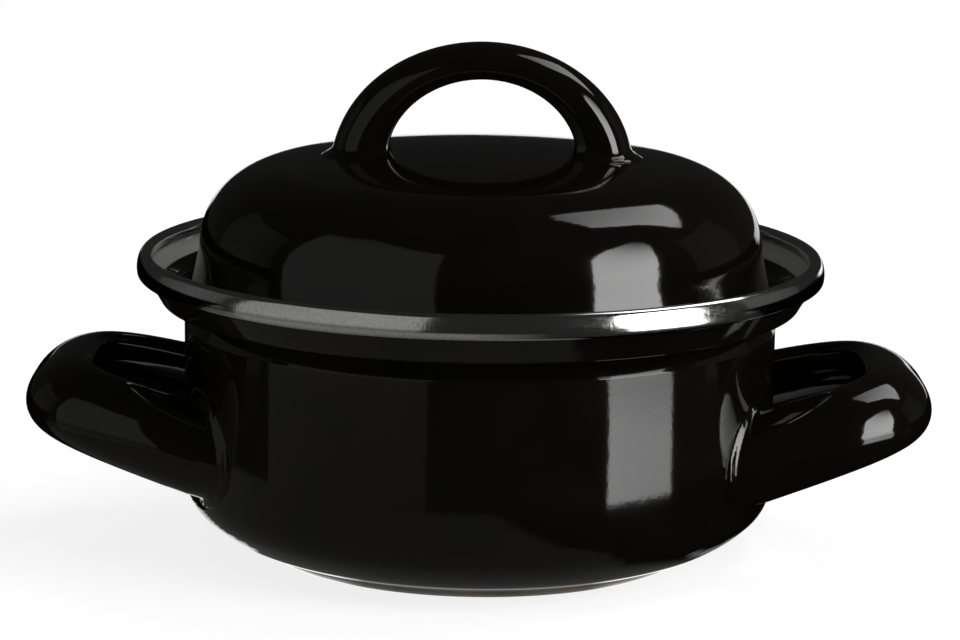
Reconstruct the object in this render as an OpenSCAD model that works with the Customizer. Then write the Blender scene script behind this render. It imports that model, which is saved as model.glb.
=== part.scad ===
// Small enamelled steel casserole dish with a domed lid, two loop handles and a steel rim band.
// Millimetres. Z is up, the origin is the centre of the base, and X runs through both side handles.

/* [Pot] */
// Outer radius of the straight wall
wall_r = 61.4; // [56:0.2:66]
// Height of the pot to the edge of its sheet
pot_h = 60.9; // [56:0.1:75]
// Thickness of the enamelled pot sheet
pot_sheet = 1.2; // [0.8:0.1:1.4]
// Outer radius of the standing ring
foot_r = 46; // [40:0.5:49]
// Width of the flat tread of the standing ring
foot_tread = 3.2; // [2:0.1:5]
// Radius of the bend at the outer edge of the standing ring
foot_bend_r = 1.8; // [1.6:0.1:2.4]
// Height of the middle of the floor over the tread
floor_lift = 0.8; // [0.5:0.1:1.2]
// Slope of the belly where it leaves the standing ring, in degrees
belly_start = 11; // [6:1:20]
// Radius of the bend between the belly and the wall
belly_bend_r = 8.5; // [4:0.5:11]

/* [Neck and rim] */
// Depth of the neck inside the wall
neck_depth = 1; // [0.6:0.1:1.6]
// Radius of the shoulder between the wall and the neck
shoulder_r = 3; // [2:0.1:5]
// Radius of the hollow of the neck
neck_r = 1; // [0.6:0.1:1.6]
// Height of the rim, from the underside of the ledge to the edge of the sheet
rim_h = 9.1; // [8.2:0.1:12]
// Width of the flat ledge that carries the lid
ledge_w = 3.7; // [3:0.1:5]
// Inside radius of the bend between the ledge and the flare
ledge_bend_r = 0.2; // [0.1:0.1:0.6]
// Slope of the flared rim, in degrees
flare_slope = 60; // [54:1:68]
// Radius of the curve that brings the flare upright
flare_bend_r = 6; // [4:0.5:7]

/* [Rim band] */
// Thickness of the steel strip
band_sheet = 0.5; // [0.3:0.1:0.6]
// Length of the straight leg inside the rim
band_leg = 0.9; // [0.5:0.1:1.3]
// Radius of the crown of the band
band_crown_r = 1.4; // [1.3:0.1:1.8]
// Radius of the bulged outer face
band_face_r = 6; // [4:0.5:7]
// Radius of the lower edge, where the strip turns under
band_edge_r = 0.8; // [0.7:0.1:1]

/* [Lid] */
// Thickness of the enamelled lid sheet
lid_sheet = 1.2; // [0.8:0.1:1.4]
// Slope of the crown where the shoulder starts, in degrees
crown_slope = 8.5; // [7:0.5:10]
// Radius of the upper shoulder
lid_shoulder_r = 19.8; // [17:0.2:22]
// Radius of the lower shoulder
lid_cheek_r = 16.8; // [14:0.2:18]
// Length of the straight run of the lid wall
lid_wall = 1.2; // [0.4:0.2:6]
// Lean of the lid wall, in degrees from upright
lid_lean = 4.7; // [3:0.1:6.5]
// Radius of the skirt, where the wall starts to flare
skirt_r = 17; // [12:0.5:18]
// How far the skirt flares before the cove, in degrees
skirt_turn = 30; // [20:1:34]
// Radius of the cove at the foot of the skirt
cove_r = 2; // [1.6:0.1:3]
// Width of the flat that rests on the ledge
seat_w = 0.3; // [0.2:0.1:0.8]
// Gap between the lid's lip and the flare of the rim
lip_gap = 0.4; // [0.3:0.05:0.8]
// Radius of the bend between the seat and the lip
lip_bend_r = 1.4; // [1:0.1:1.6]
// Length of the straight lip
lip_len = 2.2; // [1.2:0.1:2.8]

/* [Side handles] */
// Thickness of the enamelled handle sheet
handle_sheet = 1.2; // [0.8:0.1:1.6]
// Reach of the loop's line from the wall to its far end
handle_reach = 23.3; // [19:0.1:27]
// Width of the loop's line at the wall
handle_root_w = 51.4; // [44:0.2:56]
// Width of the loop's line near its far end
handle_end_w = 46; // [40:0.2:52]
// Squareness of the loop, 2 for an ellipse
handle_square = 3.5; // [2.6:0.1:4]
// Rise of the loop, in degrees
handle_rise = 16.6; // [10:0.2:22]
// Height of the loop's line over the base, level with the wall
handle_z = 26.4; // [25:0.1:30]
// Height of the section at the wall
handle_root_h = 18.9; // [14:0.1:20]
// Height of the section at the far end
handle_end_h = 16; // [12:0.1:19]
// Bulge of the section's round back
handle_bulge = 9; // [6:0.1:10]
// Length of the cheeks beside the open side
handle_cheek = 2.9; // [2:0.1:4]
// How far each cheek closes in at its edge
handle_pinch = 1.5; // [0.5:0.1:2.5]
// Radius of the enamelled weld around the roots
handle_weld_r = 1.5; // [0.5:0.1:2]

/* [Lid handle] */
// Thickness of the enamelled arch sheet
arch_sheet = 1.2; // [0.8:0.1:1.6]
// Half span of the arch's line
arch_span = 25.8; // [23:0.2:30]
// Rise of the arch's line over the top of the lid
arch_rise = 16.8; // [14:0.2:22]
// Depth of the arch's centre under the top of the lid
arch_sink = 4.8; // [4:0.2:6]
// Width of the strap at the top
arch_top_w = 14; // [11:0.2:16]
// Width of the strap at the feet
arch_foot_w = 15.4; // [12:0.2:18]
// Bulge of the strap's round back at the top
arch_bulge = 5; // [4:0.1:6]
// Bulge of the strap's round back at the feet
arch_foot_bulge = 5.6; // [4:0.1:7]
// Length of the cheeks at the top
arch_cheek = 2.1; // [1.5:0.1:3.5]
// Length of the cheeks at the feet
arch_foot_cheek = 7.3; // [5:0.1:9]
// How far each cheek closes in at its edge
arch_pinch = 0.6; // [0:0.1:1.5]
// Radius of the enamelled weld around the feet
arch_weld_r = 2; // [0.5:0.1:2.5]

/* [Hidden] */
$fn = 180;
// Largest turn of one chord in a bend, in degrees, and the most that a chord may stray from its bend
bend_step = 6;
chord_sag = 0.01;
black_enamel = [0.05, 0.05, 0.05];
steel = [0.7, 0.7, 0.72];

// A sheet's profile is traced as states [radius, height, heading], with heading 0 outward and 90 up.
// A move is [length] for a straight run, or [radius, turn] for a bend, where a positive turn is to the left.
function left_of(heading) = [-sin(heading), cos(heading)];
function straight(s, run) = [s.x + run * cos(s.z), s.y + run * sin(s.z), s.z];
function bent(s, r, turn) =
    let (shift = sign(turn) * r * (left_of(s.z) - left_of(s.z + turn)))
    [s.x + shift.x, s.y + shift.y, s.z + turn];
function moved(s, move, part) = len(move) == 1 ? straight(s, move[0] * part) : bent(s, move[0], move[1] * part);
function chords(move) = len(move) == 1 ? 1
    : ceil(abs(move[1]) / min(bend_step, 2 * acos(max(0, 1 - chord_sag / move[0]))));
function trace(s, moves, i = 0) = i == len(moves) ? [] : concat(
    [for (k = [1 : chords(moves[i])]) moved(s, moves[i], k / chords(moves[i]))],
    trace(moved(s, moves[i], 1), moves, i + 1));
function offset_path(path, gap) = [for (s = path) [s.x, s.y] + gap * left_of(s.z)];
function reversed(list) = [for (i = [len(list) - 1 : -1 : 0]) list[i]];

// A round pressed sheet, its thickness laid to the left of the traced path
module pressed_sheet(path, thickness)
    rotate_extrude() polygon(concat(offset_path(path, 0), reversed(offset_path(path, thickness))));

// Pot, traced along its outside from the middle of the floor
dip_turn = 30;
dip_r = floor_lift / (2 * (1 - cos(dip_turn)));
foot_turn = 75;
foot_hollow_r = 1;
belly_turn = 45;
floor_run = foot_r - foot_bend_r * sin(foot_turn) - foot_tread - 2 * dip_r * sin(dip_turn);
belly_r0 = foot_r + foot_hollow_r * (sin(foot_turn) - sin(belly_start));
belly_r = (wall_r - belly_r0 - belly_bend_r * (1 - sin(belly_turn))) / (sin(belly_turn) - sin(belly_start));
wall_z0 = foot_bend_r * (1 - cos(foot_turn)) + foot_hollow_r * (cos(belly_start) - cos(foot_turn))
    + belly_r * (cos(belly_start) - cos(belly_turn)) + belly_bend_r * cos(belly_turn);
ledge_z = pot_h - rim_h;
neck_turn = acos(1 - neck_depth / (shoulder_r + neck_r));
wall_z1 = ledge_z - neck_r * (1 + sin(neck_turn)) - shoulder_r * sin(neck_turn);
ledge_r0 = wall_r - shoulder_r * (1 - cos(neck_turn)) + neck_r * cos(neck_turn);
ledge_corner_r = ledge_bend_r + pot_sheet;
// The upright edge of the sheet is a little longer than the leg of the band that grips it
edge_spare = 0.1;
flare_r0 = ledge_r0 + ledge_w + ledge_corner_r * sin(flare_slope);
flare_z0 = ledge_z + ledge_corner_r * (1 - cos(flare_slope));
edge_run = band_leg + edge_spare;
flare_z1 = pot_h - edge_run - flare_bend_r * cos(flare_slope);
flare_len = (flare_z1 - flare_z0) / sin(flare_slope);
rim_r = flare_r0 + flare_len * cos(flare_slope) + flare_bend_r * (1 - sin(flare_slope));

pot_start = [0, floor_lift, 0];
pot_path = concat([pot_start], trace(pot_start, [
    [floor_run],
    [dip_r, -dip_turn],
    [dip_r, dip_turn],
    [foot_tread],
    [foot_bend_r, foot_turn],
    [foot_hollow_r, belly_start - foot_turn],
    [belly_r, belly_turn - belly_start],
    [belly_bend_r, 90 - belly_turn],
    [wall_z1 - wall_z0],
    [shoulder_r, neck_turn],
    [neck_r, -90 - neck_turn],
    [ledge_w],
    [ledge_corner_r, flare_slope],
    [flare_len],
    [flare_bend_r, 90 - flare_slope],
    [edge_run]
]));

module pot_shell() {
    color(black_enamel) pressed_sheet(pot_path, pot_sheet);
}

// Rim band, traced along its visible face from the inner leg over the crown to the lower edge turned under
band_lean = 65;
band_tuck = 100;
band_leg_top = [rim_r - pot_sheet - band_sheet, pot_h, 90];
band_start = straight(band_leg_top, -band_leg);
band_face = bent(bent(band_leg_top, band_crown_r, -90 - band_lean), band_face_r, band_lean - band_tuck);
band_low = bent(band_face, band_edge_r, band_tuck - 180);
band_tip_r = flare_r0 + (band_low.y + band_sheet - flare_z0) / tan(flare_slope);
band_path = concat([band_start], trace(band_start, [
    [band_leg],
    [band_crown_r, -90 - band_lean],
    [band_face_r, band_lean - band_tuck],
    [band_edge_r, band_tuck - 180],
    [band_low.x - band_tip_r]
]));

module rim_band() {
    color(steel) pressed_sheet(band_path, -band_sheet);
}

// Lid, traced along its outside from the top of the crown. The crown's radius closes the profile.
ledge_top = ledge_z + pot_sheet;
wall_turn = 90 - lid_lean;
cove_turn = wall_turn - skirt_turn;
brow_turn = 40;
// The lip runs beside the flare, so the seat takes its place from there
seat_r1 = ledge_r0 + ledge_w - lip_gap / sin(flare_slope)
    - (lip_bend_r + lid_sheet - ledge_bend_r) * tan(flare_slope / 2);
foot_w = skirt_r * (sin(wall_turn) - sin(cove_turn)) + cove_r * sin(cove_turn);
foot_h = skirt_r * (cos(cove_turn) - cos(wall_turn)) + cove_r * (1 - cos(cove_turn));
shoulder_w = lid_shoulder_r * (sin(brow_turn) - sin(crown_slope))
    + lid_cheek_r * (sin(wall_turn) - sin(brow_turn));
shoulder_h = lid_shoulder_r * (cos(crown_slope) - cos(brow_turn))
    + lid_cheek_r * (cos(brow_turn) - cos(wall_turn));
crown_r = (seat_r1 - seat_w - foot_w - lid_wall * cos(wall_turn) - shoulder_w) / sin(crown_slope);
lid_top = ledge_top + lid_sheet + foot_h + lid_wall * sin(wall_turn) + shoulder_h
    + crown_r * (1 - cos(crown_slope));
lid_start = [0, lid_top, 0];
crown_path = concat([lid_start], trace(lid_start, [[crown_r, -crown_slope]]));
lid_path = concat(crown_path, trace(crown_path[len(crown_path) - 1], [
    [lid_shoulder_r, crown_slope - brow_turn],
    [lid_cheek_r, brow_turn - wall_turn],
    [lid_wall],
    [skirt_r, skirt_turn],
    [cove_r, cove_turn],
    [seat_w],
    [lip_bend_r, flare_slope],
    [lip_len]
]));

module lid_shell() {
    color(black_enamel) pressed_sheet(lid_path, -lid_sheet);
}

// A channel's section is [toward the back, across], from one cheek's edge round the back to the other's.
// Each entry holds a point, and the direction in which a weld spreads it.
back_angles = [for (a = [-90 : 18 : 90]) a];
cheek_steps = 3;
cheek_parts = [for (k = [cheek_steps : -1 : 1]) k / cheek_steps];
function channel_side(bulge, half, cheek, pinch) = concat(
    [for (t = cheek_parts) [[-cheek * t, pinch * t * t - half], [0, -1]]],
    [for (a = back_angles) [[bulge * cos(a), half * sin(a)], unit([cos(a) / bulge, sin(a) / half])]],
    [for (t = reversed(cheek_parts)) [[-cheek * t, half - pinch * t * t], [0, 1]]]);
function channel(bulge, half, cheek, pinch, thickness) =
    let (skin = channel_side(bulge, half, cheek, pinch),
        core = channel_side(bulge - thickness, half - thickness, cheek, pinch))
    [for (side = [0, 1], i = [0 : len(skin) - 1])
        let (k = side == 0 ? i : len(skin) - 1 - i) [side == 0 ? skin[k][0] : core[k][0], skin[k][1]]];
function unit(v) = v / norm(v);
// How far a weld of radius r spreads outward at distance d from the sheet that it joins
function weld(d, r) = d >= r ? 0 : d <= 0 ? r : r - sqrt(r * r - (r - d) * (r - d));
// Which way a line points away from its middle at point i
function outward(line, i) =
    let (run = line[min(i + 1, len(line) - 1)] - line[max(i - 1, 0)]) unit([run.y, -run.x]);

// Joins rings of points into one closed solid
module skin_rings(rings) {
    n = len(rings[0]);
    last = len(rings) - 1;
    points = [for (ring = rings, p = ring) p];
    sides = [for (i = [0 : last - 1], j = [0 : n - 1])
        let (a = i * n + j, b = i * n + (j + 1) % n) [[a, b, b + n], [a, b + n, a + n]]];
    // Both open ends are closed strip by strip, from the back of the sheet to its front
    ends = [for (j = [0 : n / 2 - 2])
        let (k = n - 1 - j) [[j, k, k - 1], [j, k - 1, j + 1],
            [last * n + j, last * n + k - 1, last * n + k], [last * n + j, last * n + j + 1, last * n + k - 1]]];
    polyhedron(points, [for (group = concat(sides, ends), f = group) f]);
}

// Side handle, a loop in plan whose far end is higher than its roots
root_x = sqrt(wall_r * wall_r - handle_root_w * handle_root_w / 4);
// The arms run on past the wall and are then trimmed to it
root_spare = 3;
root_run = root_x - sqrt(wall_r * wall_r - pow(handle_root_w / 2 + handle_bulge, 2)) + root_spare;
loop_steps = 20;
root_steps = 6;
// Above 1, the loop's stations crowd together toward the wall
root_crowding = 1.5;
tip_x = wall_r + handle_reach;
function loop_point(turn) =
    let (size = pow(pow(cos(turn), handle_square) + pow(abs(sin(turn)), handle_square), 1 / handle_square),
        along = cos(turn) / size,
        half = (handle_root_w + (handle_end_w - handle_root_w) * along) / 2)
    [root_x + (tip_x - root_x) * along, half * sin(turn) / size];
loop_arm = [for (k = [1 : loop_steps]) loop_point(90 * (1 - pow(1 - k / loop_steps, root_crowding)))];
root_arm = [for (k = [1 : root_steps]) [root_x - root_run * k / root_steps, handle_root_w / 2]];
half_loop = concat(loop_arm, root_arm);
loop_line = concat([for (p = reversed(half_loop)) [p.x, -p.y]], [loop_point(0)], half_loop);

function handle_ring(i) =
    let (p = loop_line[i], out = outward(loop_line, i),
        along = max(0, (p.x - root_x) / (tip_x - root_x)),
        half = (handle_root_h + (handle_end_h - handle_root_h) * along) / 2)
    [for (entry = channel(handle_bulge, half, handle_cheek, handle_pinch, handle_sheet))
        let (at = handle_point(p, out, entry[0]),
            spread = weld(norm([at.x, at.y]) - wall_r, handle_weld_r))
        handle_point(p, out, entry[0] + spread * entry[1])];
function handle_point(p, out, place) = [
    p.x + out.x * place.x - place.y * sin(handle_rise),
    p.y + out.y * place.x,
    handle_z + (p.x - wall_r) * tan(handle_rise) + place.y * cos(handle_rise)];

module side_handle() {
    color(black_enamel) difference() {
        skin_rings([for (i = [0 : len(loop_line) - 1]) handle_ring(i)]);
        cylinder(r = wall_r, h = ledge_z);
    }
}

module right_handle() {
    side_handle();
}

module left_handle() {
    mirror([1, 0, 0]) side_handle();
}

// Lid handle, an arch over the crown
arch_steps = 26;
arch_z = lid_top - arch_sink;
arch_line = [for (k = [0 : 2 * arch_steps])
    let (turn = 90 * (k / arch_steps - 1)) [arch_span * sin(turn), arch_z + (arch_rise + arch_sink) * cos(turn)]];
function lid_surface(r) = lid_top - crown_r + sqrt(crown_r * crown_r - r * r);

function arch_ring(i) =
    let (p = arch_line[i], out = -outward(arch_line, i),
        low = 1 - (p.y - arch_z) / (arch_rise + arch_sink),
        bulge = arch_bulge + (arch_foot_bulge - arch_bulge) * low,
        half = (arch_top_w + (arch_foot_w - arch_top_w) * low) / 2,
        cheek = arch_cheek + (arch_foot_cheek - arch_cheek) * low)
    [for (entry = channel(bulge, half, cheek, arch_pinch, arch_sheet))
        let (at = arch_point(p, out, entry[0]),
            spread = weld(at.z - lid_surface(norm([at.x, at.y])), arch_weld_r))
        arch_point(p, out, entry[0] + spread * entry[1])];
function arch_point(p, out, place) = [p.x + out.x * place.x, place.y, p.y + out.y * place.x];

module lid_handle() {
    color(black_enamel) difference() {
        skin_rings([for (i = [0 : len(arch_line) - 1]) arch_ring(i)]);
        rotate_extrude() polygon(concat(
            [[0, ledge_top]], offset_path(crown_path, 0), [[crown_path[len(crown_path) - 1].x, ledge_top]]));
    }
}

pot_shell();
rim_band();
left_handle();
right_handle();
lid_shell();
lid_handle();
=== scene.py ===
import math

import bmesh
import bpy
from mathutils import Matrix, Vector


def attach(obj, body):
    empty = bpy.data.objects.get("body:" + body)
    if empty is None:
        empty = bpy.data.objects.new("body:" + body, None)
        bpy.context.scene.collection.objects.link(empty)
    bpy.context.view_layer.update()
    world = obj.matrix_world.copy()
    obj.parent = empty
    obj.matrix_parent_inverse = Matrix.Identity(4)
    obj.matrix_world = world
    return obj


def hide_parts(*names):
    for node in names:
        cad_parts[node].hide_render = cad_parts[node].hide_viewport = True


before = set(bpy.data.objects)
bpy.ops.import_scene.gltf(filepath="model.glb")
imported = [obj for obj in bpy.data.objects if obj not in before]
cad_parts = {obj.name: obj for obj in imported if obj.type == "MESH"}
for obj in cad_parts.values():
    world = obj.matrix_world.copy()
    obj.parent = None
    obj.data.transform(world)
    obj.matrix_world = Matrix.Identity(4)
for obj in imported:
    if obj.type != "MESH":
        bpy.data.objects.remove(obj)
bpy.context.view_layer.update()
scene = bpy.context.scene
scene.view_settings.view_transform = "Standard"
mm = 0.001
seamGap = 0.002 * mm  # points closer than this become one

# node trees are built with these few helpers


def addNode(tree, kind, **settings):
    node = tree.nodes.new(kind)
    for name, value in settings.items():
        setattr(node, name, value)
    return node


def feed(tree, socket, value):  # a value is another node's output, or a plain number, colour or vector
    if isinstance(value, bpy.types.NodeSocket):
        tree.links.new(value, socket)
    else:
        socket.default_value = value


def sums(tree, operation, *values):
    node = addNode(tree, "ShaderNodeMath", operation=operation)
    for socket, value in zip(node.inputs, values):
        feed(tree, socket, value)
    return node.outputs[0]


def vectors(tree, operation, *values, scale=None):
    node = addNode(tree, "ShaderNodeVectorMath", operation=operation)
    for socket, value in zip(node.inputs, values):
        feed(tree, socket, value)
    if scale is not None:
        feed(tree, node.inputs["Scale"], scale)
    return node.outputs["Value"] if operation in ("LENGTH", "DOT_PRODUCT") else node.outputs["Vector"]


def mixed(tree, factor, first, second):  # mixes two colours
    node = addNode(tree, "ShaderNodeMix", data_type="RGBA")
    feed(tree, node.inputs["Factor"], factor)
    for name, value in (("A", first), ("B", second)):
        feed(tree, [s for s in node.inputs if s.name == name and s.type == "RGBA"][0], value)
    return [s for s in node.outputs if s.type == "RGBA"][0]


def spread(tree, value, low, high, toLow=0.0, toHigh=1.0):  # smooth step from one range to another
    node = addNode(tree, "ShaderNodeMapRange", interpolation_type="SMOOTHSTEP")
    numbers = {"Value": value, "From Min": low, "From Max": high, "To Min": toLow, "To Max": toHigh}
    for name, number in numbers.items():
        feed(tree, node.inputs[name], number)
    return node.outputs["Result"]


def newGroup(name, kind, inputs, outputs):
    tree = bpy.data.node_groups.new(name, kind)
    for label, socketType, value in inputs:
        socket = tree.interface.new_socket(label, in_out="INPUT", socket_type=socketType)
        if value is not None:
            socket.default_value = value
    for label, socketType in outputs:
        tree.interface.new_socket(label, in_out="OUTPUT", socket_type=socketType)
    return tree, tree.nodes.new("NodeGroupInput").outputs, tree.nodes.new("NodeGroupOutput").inputs


# enamel and steel

enamelLook = {
    "black": (0.0022, 0.0021, 0.0014, 1),
    "blackShade": (0.0034, 0.0028, 0.002, 1),
    "grey": (0.42, 0.42, 0.40, 1),
    "greyShade": (0.37, 0.37, 0.355, 1),
    "toneSize": 12 * mm,
    "rippleSize": 1.0 * mm,  # orange peel of the fired glass
    "rippleDepth": 0.006 * mm,
    "swellSize": 16 * mm,  # slow waves left by the dipping
    "swellDepth": 0.03 * mm,
    "gloss": 0.045,
    "hazeSize": 9 * mm,  # patches that are a little less glossy
    "haze": 0.03,
    "wornFoot": (0.075, 0.06, 0.045, 1),  # where the standing ring has rubbed
    "wornBelow": 2.2 * mm,
    "wornFade": 0.6 * mm,
    "wornPatches": 0.4,
}
steelLook = {
    "colour": (0.86, 0.86, 0.84, 1),
    "shade": (0.78, 0.78, 0.76, 1),
    "polish": (0.085, 0.14),
    "grainSize": 0.7 * mm,
    "chatterCount": 520,
    "chatterDepth": 0.0015 * mm,
    "restDepth": 0.0006 * mm,
    "girdle": (59.2 * mm, 59.7 * mm, 60.1 * mm, 60.6 * mm),  # the marks deepen and fade between these heights
}


def makeFiredSurface():  # the height and gloss that all the fired enamel shares
    tree, given, out = newGroup("firedSurface", "ShaderNodeTree", [
        ("Ripple Size", "NodeSocketFloat", 0.001),
        ("Ripple Depth", "NodeSocketFloat", 0.0),
        ("Swell Size", "NodeSocketFloat", 0.01),
        ("Swell Depth", "NodeSocketFloat", 0.0),
        ("Gloss", "NodeSocketFloat", 0.05),
    ], [("Height", "NodeSocketFloat"), ("Roughness", "NodeSocketFloat"), ("Tone", "NodeSocketFloat")])
    place = addNode(tree, "ShaderNodeTexCoord").outputs["Object"]

    def waves(size, detail):
        noise = addNode(tree, "ShaderNodeTexNoise")
        feed(tree, noise.inputs["Vector"], place)
        feed(tree, noise.inputs["Scale"], sums(tree, "DIVIDE", 1.0, size))
        feed(tree, noise.inputs["Detail"], detail)
        return noise.outputs["Fac"]

    ripple = sums(tree, "MULTIPLY", waves(given["Ripple Size"], 1.5), given["Ripple Depth"])
    swell = sums(tree, "MULTIPLY", waves(given["Swell Size"], 0.0), given["Swell Depth"])
    feed(tree, out["Height"], sums(tree, "ADD", ripple, swell))
    haze = waves(enamelLook["hazeSize"], 3.0)
    feed(tree, out["Roughness"], sums(tree, "MULTIPLY_ADD", haze, enamelLook["haze"], given["Gloss"]))
    feed(tree, out["Tone"], spread(tree, waves(enamelLook["toneSize"], 3.0), 0.3, 0.7))
    return tree


firedSurface = makeFiredSurface()


def makeEnamel(name, colour, shade, wornFoot=None):
    material = bpy.data.materials.new(name)
    material.use_nodes = True
    tree = material.node_tree
    skin = tree.nodes["Principled BSDF"]
    fired = addNode(tree, "ShaderNodeGroup", node_tree=firedSurface)
    for label, key in (("Ripple Size", "rippleSize"), ("Ripple Depth", "rippleDepth"),
                       ("Swell Size", "swellSize"), ("Swell Depth", "swellDepth"), ("Gloss", "gloss")):
        fired.inputs[label].default_value = enamelLook[key]
    tint = mixed(tree, fired.outputs["Tone"], colour, shade)
    if wornFoot:
        part = addNode(tree, "ShaderNodeSeparateXYZ")
        feed(tree, part.inputs[0], addNode(tree, "ShaderNodeTexCoord").outputs["Object"])
        edge, fade = enamelLook["wornBelow"], enamelLook["wornFade"]
        low = spread(tree, part.outputs["Z"], edge + fade, edge - fade)
        patches = sums(tree, "MULTIPLY_ADD", fired.outputs["Tone"], -enamelLook["wornPatches"], 1.0)
        tint = mixed(tree, sums(tree, "MULTIPLY", low, patches), tint, wornFoot)
    feed(tree, skin.inputs["Base Color"], tint)
    feed(tree, skin.inputs["Roughness"], fired.outputs["Roughness"])
    bump = addNode(tree, "ShaderNodeBump")
    bump.inputs["Distance"].default_value = 1.0
    feed(tree, bump.inputs["Height"], fired.outputs["Height"])
    feed(tree, skin.inputs["Normal"], bump.outputs["Normal"])
    skin.inputs["IOR"].default_value = 1.5
    return material


blackEnamel = makeEnamel("blackEnamel", enamelLook["black"], enamelLook["blackShade"])
potEnamel = makeEnamel("potEnamel", enamelLook["black"], enamelLook["blackShade"], enamelLook["wornFoot"])
greyEnamel = makeEnamel("greyEnamel", enamelLook["grey"], enamelLook["greyShade"])


def makeRolledSteel():
    material = bpy.data.materials.new("rolledSteel")
    material.use_nodes = True
    tree = material.node_tree
    skin = tree.nodes["Principled BSDF"]
    place = addNode(tree, "ShaderNodeTexCoord").outputs["Object"]
    part = addNode(tree, "ShaderNodeSeparateXYZ")
    feed(tree, part.inputs[0], place)
    turn = sums(tree, "ARCTAN2", part.outputs["Y"], part.outputs["X"])
    marks = sums(tree, "SINE", sums(tree, "MULTIPLY", turn, steelLook["chatterCount"]))
    patchy = addNode(tree, "ShaderNodeTexNoise")
    feed(tree, patchy.inputs["Vector"], place)
    patchy.inputs["Scale"].default_value = 1 / steelLook["grainSize"]
    patchy.inputs["Detail"].default_value = 2.0
    blotch = spread(tree, patchy.outputs["Fac"], 0.42, 0.62)
    lowFrom, lowTo, highFrom, highTo = steelLook["girdle"]
    girdle = sums(tree, "MULTIPLY", spread(tree, part.outputs["Z"], lowFrom, lowTo),
                  spread(tree, part.outputs["Z"], highTo, highFrom))
    height = sums(tree, "MULTIPLY", sums(tree, "MULTIPLY", marks, blotch),
                  sums(tree, "MULTIPLY_ADD", girdle, steelLook["chatterDepth"], steelLook["restDepth"]))
    bump = addNode(tree, "ShaderNodeBump")
    bump.inputs["Distance"].default_value = 1.0
    feed(tree, bump.inputs["Height"], height)
    feed(tree, skin.inputs["Normal"], bump.outputs["Normal"])
    feed(tree, skin.inputs["Base Color"], mixed(tree, blotch, steelLook["colour"], steelLook["shade"]))
    feed(tree, skin.inputs["Roughness"], spread(tree, patchy.outputs["Fac"], 0.3, 0.7, *steelLook["polish"]))
    skin.inputs["Metallic"].default_value = 1.0
    return material


rolledSteel = makeRolledSteel()
print("materials made")

# a sheet's section is traced as a run of points with headings, 0 outward and 90 up

trace = {"straightStep": 4, "bendStep": 4, "arcStep": 2, "endSteps": 6}  # mm, degrees, mm, and a count


def leftOf(heading):
    return Vector((-math.sin(heading), math.cos(heading)))


def traceSheet(radius, height, moves, heading=0):  # a move is (length,) or (bend radius, turn to the left)
    states = [(Vector((radius, height)), math.radians(heading))]
    for move in moves:
        at, head = states[-1]
        if len(move) == 1:
            steps = max(1, math.ceil(move[0] / trace["straightStep"]))
            ahead = Vector((math.cos(head), math.sin(head)))
            states += [(at + ahead * move[0] * k / steps, head) for k in range(1, steps + 1)]
        else:
            turn = math.radians(move[1])
            arm = move[0] * (1 if turn > 0 else -1)
            hub = at + leftOf(head) * arm
            byTurn = math.ceil(abs(turn) / math.radians(trace["bendStep"]))
            byLength = math.ceil(abs(turn) * move[0] / trace["arcStep"])
            steps = max(2, byTurn, byLength)
            for k in range(1, steps + 1):
                states.append((hub - leftOf(head + turn * k / steps) * arm, head + turn * k / steps))
    return states


def roundedEnd(state, thickness, side, forward):  # half circle over the sheet's edge
    at, head = state
    across = leftOf(head) * side
    ahead = Vector((math.cos(head), math.sin(head))) * forward
    middle = at + across * thickness / 2
    return [middle + (ahead * math.sin(a) - across * math.cos(a)) * thickness / 2
            for a in [math.pi * k / trace["endSteps"] for k in range(1, trace["endSteps"])]]


def sheetOutline(states, thickness, side, ring=False, softer=None):
    # gives the outline, and where its second face starts; that face follows softer, where one is given
    front = [at for at, head in states]
    back = [at + leftOf(head) * side * thickness for at, head in softer or states]
    outline = front + roundedEnd(states[-1], thickness, side, 1)
    secondFace = len(outline)
    outline += back[::-1]
    if ring:
        outline += roundedEnd(states[0], thickness, side, -1)[::-1] + [front[0]]
    return outline, secondFace


def outlineObject(name, points):  # loose edges that a node tree reads
    mesh = bpy.data.meshes.new(name)
    places = [(p[0] * mm, 0, p[1] * mm) for p in points]
    mesh.from_pydata(places, [(i, i + 1) for i in range(len(points) - 1)], [])
    shape = bpy.data.objects.new(name, mesh)
    scene.collection.objects.link(shape)
    return shape


def gridOver(tree, rows, columns):  # a grid, with the row and column of each of its points
    grid = addNode(tree, "GeometryNodeMeshGrid")
    feed(tree, grid.inputs["Vertices X"], rows)
    feed(tree, grid.inputs["Vertices Y"], columns)
    index = addNode(tree, "GeometryNodeInputIndex").outputs[0]
    row = sums(tree, "FLOOR", sums(tree, "DIVIDE", sums(tree, "ADD", index, 0.5), columns))
    column = sums(tree, "SUBTRACT", index, sums(tree, "MULTIPLY", row, columns))
    return grid.outputs["Mesh"], row, column


def pointCount(tree, geometry):
    node = addNode(tree, "GeometryNodeAttributeDomainSize", component="MESH")
    feed(tree, node.inputs[0], geometry)
    return node.outputs["Point Count"]


def sampleAt(tree, geometry, value, index, dataType="FLOAT_VECTOR"):
    node = addNode(tree, "GeometryNodeSampleIndex", data_type=dataType, domain="POINT")
    feed(tree, node.inputs["Geometry"], geometry)
    feed(tree, node.inputs["Value"], value)
    feed(tree, node.inputs["Index"], index)
    return node.outputs[0]


def named(tree, name, dataType="FLOAT_VECTOR"):
    node = addNode(tree, "GeometryNodeInputNamedAttribute", data_type=dataType)
    node.inputs["Name"].default_value = name
    return node.outputs["Attribute"]


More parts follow.
